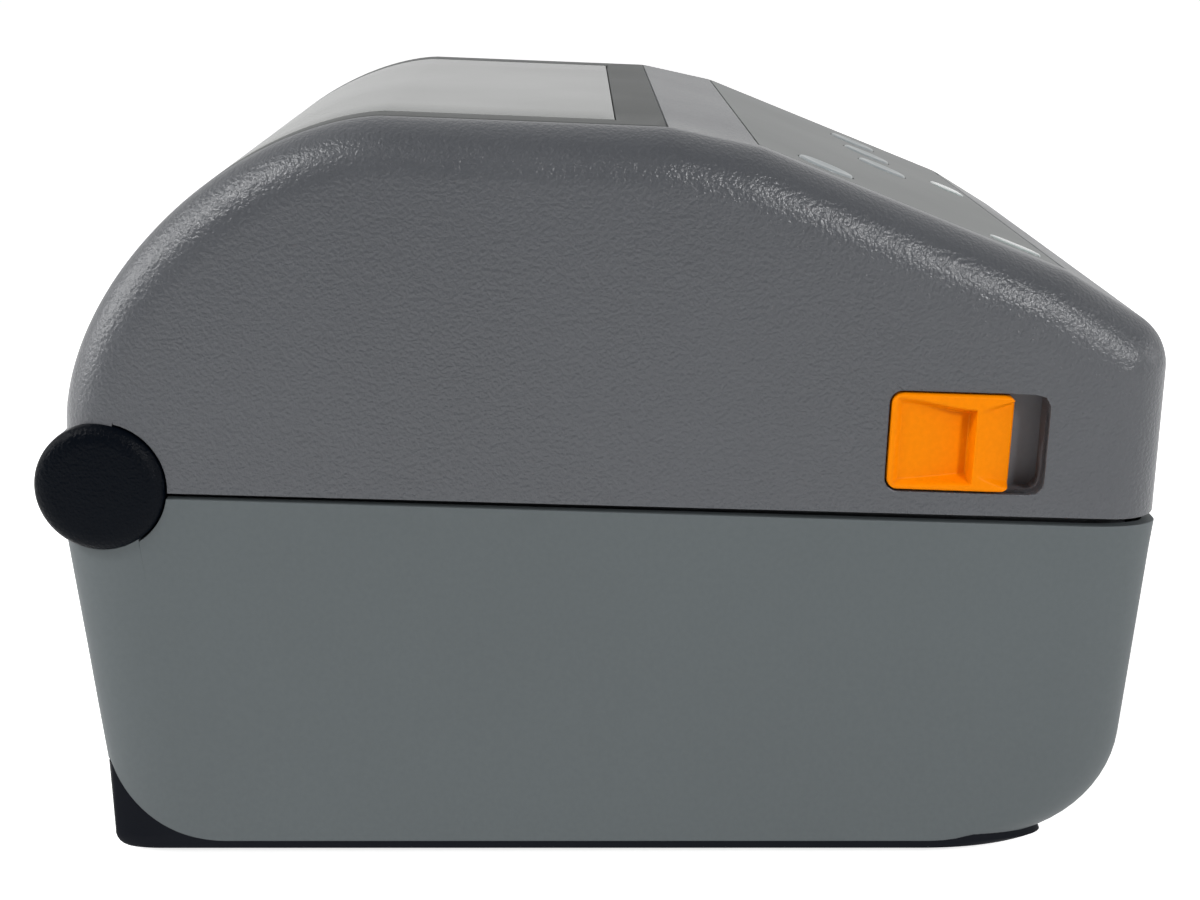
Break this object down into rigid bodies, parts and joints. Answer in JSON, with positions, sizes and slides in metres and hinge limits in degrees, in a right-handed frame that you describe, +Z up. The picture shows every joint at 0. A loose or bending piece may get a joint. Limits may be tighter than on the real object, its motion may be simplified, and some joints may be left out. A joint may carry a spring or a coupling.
{
  "type": "desktop label printer",
  "caption": "Desktop label printer with a hinged rounded cover, slide latches, control panel, roll bay with centring guides, printhead, platen roller and feed gears.",
  "frame": {"origin": "centre of the overall box, on the surface that the feet stand on", "axes": "+Z up, -Y the front where the labels leave, +X to the right of someone who faces the front; the hinge runs along X at the rear"},
  "size_m": [0.178, 0.2213, 0.1503],
  "materials": {
    "cover_plastic": "leather grain",
    "casing_plastic": "fine grain",
    "tray_plastic": "fine grain",
    "cap_plastic": "leather grain",
    "latch_plastic": "smooth satin",
    "window_clear": "lightly frosted",
    "frame_plastic": "leather grain",
    "panel_overlay": "satin film",
    "button_plastic": "smooth satin",
    "lens_clear": "clear",
    "tub_plastic": "fine grain",
    "bezel_plastic": "fine grain",
    "socket_plastic": "smooth",
    "board": "solder mask",
    "steel": "brushed",
    "bright_steel": "polished",
    "motor_black": "satin",
    "sink_metal": "extruded",
    "print_strip": "glazed",
    "roller_rubber": "ground",
    "foot_rubber": "moulded",
    "gear_plastic": "smooth",
    "pinion_brass": "machined",
    "bush_plastic": "smooth"
  },
  "bodies": {
    "base": {"base_tray": "tray_plastic", "lower_casing": "casing_plastic", "media_tub": "tub_plastic", "front_bezel": "bezel_plastic", "connector_panel": "socket_plastic", "power_inlet": "socket_plastic", "usb_socket": "steel", "network_socket": "socket_plastic", "main_board": "board", "stepper_motor": "motor_black", "gear_plate": "steel", "platen_bushes": "bush_plastic", "rubber_feet": "foot_rubber", "tray_screws": "steel", "tub_screws": "steel", "hinge_pins": "bright_steel", "hinge_caps": "cap_plastic", "strike_brackets": "steel"},
    "cover": {"cover_shell": "cover_plastic", "window_frame": "frame_plastic", "window": "window_clear", "control_panel": "panel_overlay", "status_lenses": "lens_clear", "panel_board": "board", "latch_pan_left": "tub_plastic", "latch_pan_right": "tub_plastic", "head_frame": "tub_plastic", "head_frame_screws": "steel", "tear_bar": "bright_steel", "label_sensor": "socket_plastic", "head_springs": "steel"},
    "printhead": {"head_carrier": "tub_plastic", "heat_sink": "sink_metal", "thermal_strip": "print_strip"},
    "latch_left": {"latch_left": "latch_plastic", "hook_left": "steel"},
    "latch_right": {"latch_right": "latch_plastic", "hook_right": "steel"},
    "power_button": {"power_button": "button_plastic"},
    "pause_button": {"pause_button": "button_plastic"},
    "feed_button": {"feed_button": "button_plastic"},
    "cancel_button": {"cancel_button": "button_plastic"},
    "platen": {"platen_shaft": "bright_steel", "platen_roller": "roller_rubber", "platen_gear": "gear_plastic"},
    "idler_gear": {"idler_gear": "gear_plastic"},
    "motor_rotor": {"motor_shaft": "bright_steel", "motor_pinion": "pinion_brass"},
    "left_guide": {"left_guide": "tub_plastic", "left_roll_hub": "gear_plastic"},
    "right_guide": {"right_guide": "tub_plastic", "right_roll_hub": "gear_plastic"},
    "guide_pinion": {"guide_pinion": "gear_plastic"},
    "movable_sensor": {"movable_sensor": "socket_plastic"}
  },
  "joints": [
    {"name": "cover_hinge", "type": "hinge", "parent": "base", "child": "cover", "pos_m": [0, 0.098, 0.0795], "axis": [-1, 0, 0], "range_deg": [0, 90]},
    {"name": "printhead_lift", "type": "slide", "parent": "cover", "child": "printhead", "axis": [0, 0, 1], "range_m": [0, 0.0012], "stiffness_N_per_m": 2500, "springref_m": -0.003, "deforming": ["head_springs"]},
    {"name": "latch_left_slide", "type": "slide", "parent": "cover", "child": "latch_left", "axis": [0, -0.9996, -0.0297], "range_m": [0, 0.006], "stiffness_N_per_m": 150, "springref_m": -0.01},
    {"name": "latch_right_slide", "type": "slide", "parent": "cover", "child": "latch_right", "axis": [0, -0.9996, -0.0297], "range_m": [0, 0.006], "stiffness_N_per_m": 150, "springref_m": -0.01},
    {"name": "power_button_press", "type": "slide", "parent": "cover", "child": "power_button", "axis": [0, 0.3672, -0.9302], "range_m": [0, 0.0008], "stiffness_N_per_m": 500, "springref_m": -0.0012},
    {"name": "pause_button_press", "type": "slide", "parent": "cover", "child": "pause_button", "axis": [0, 0.3672, -0.9302], "range_m": [0, 0.0008], "stiffness_N_per_m": 500, "springref_m": -0.0012},
    {"name": "feed_button_press", "type": "slide", "parent": "cover", "child": "feed_button", "axis": [0, 0.3672, -0.9302], "range_m": [0, 0.0008], "stiffness_N_per_m": 500, "springref_m": -0.0012},
    {"name": "cancel_button_press", "type": "slide", "parent": "cover", "child": "cancel_button", "axis": [0, 0.3672, -0.9302], "range_m": [0, 0.0008], "stiffness_N_per_m": 500, "springref_m": -0.0012},
    {"name": "platen_spin", "type": "hinge", "parent": "base", "child": "platen", "pos_m": [0, -0.086, 0.066], "axis": [1, 0, 0], "continuous": true},
    {"name": "idler_spin", "type": "hinge", "parent": "base", "child": "idler_gear", "pos_m": [-0.0695, -0.07332, 0.04802], "axis": [1, 0, 0], "continuous": true},
    {"name": "motor_spin", "type": "hinge", "parent": "base", "child": "motor_rotor", "pos_m": [-0.0695, -0.06202, 0.03201], "axis": [1, 0, 0], "continuous": true},
    {"name": "left_guide_slide", "type": "slide", "parent": "base", "child": "left_guide", "axis": [-1, 0, 0], "range_m": [0, 0.046], "stiffness_N_per_m": 15, "springref_m": -0.03},
    {"name": "right_guide_slide", "type": "slide", "parent": "base", "child": "right_guide", "axis": [1, 0, 0], "range_m": [0, 0.046]},
    {"name": "guide_pinion_spin", "type": "hinge", "parent": "base", "child": "guide_pinion", "pos_m": [0, 0.028, 0.0082], "axis": [0, 0, 1], "range_deg": [-265, 0]},
    {"name": "sensor_slide", "type": "slide", "parent": "base", "child": "movable_sensor", "axis": [1, 0, 0], "range_m": [-0.047, 0.047]}
  ],
  "couplings": [
    {"joint": "idler_spin", "follows": "platen_spin", "ratio": -0.57143},
    {"joint": "motor_spin", "follows": "platen_spin", "ratio": 1.4286},
    {"joint": "right_guide_slide", "follows": "left_guide_slide", "ratio": 1},
    {"joint": "guide_pinion_spin", "follows": "left_guide_slide", "rad_per_m": -100}
  ]
}
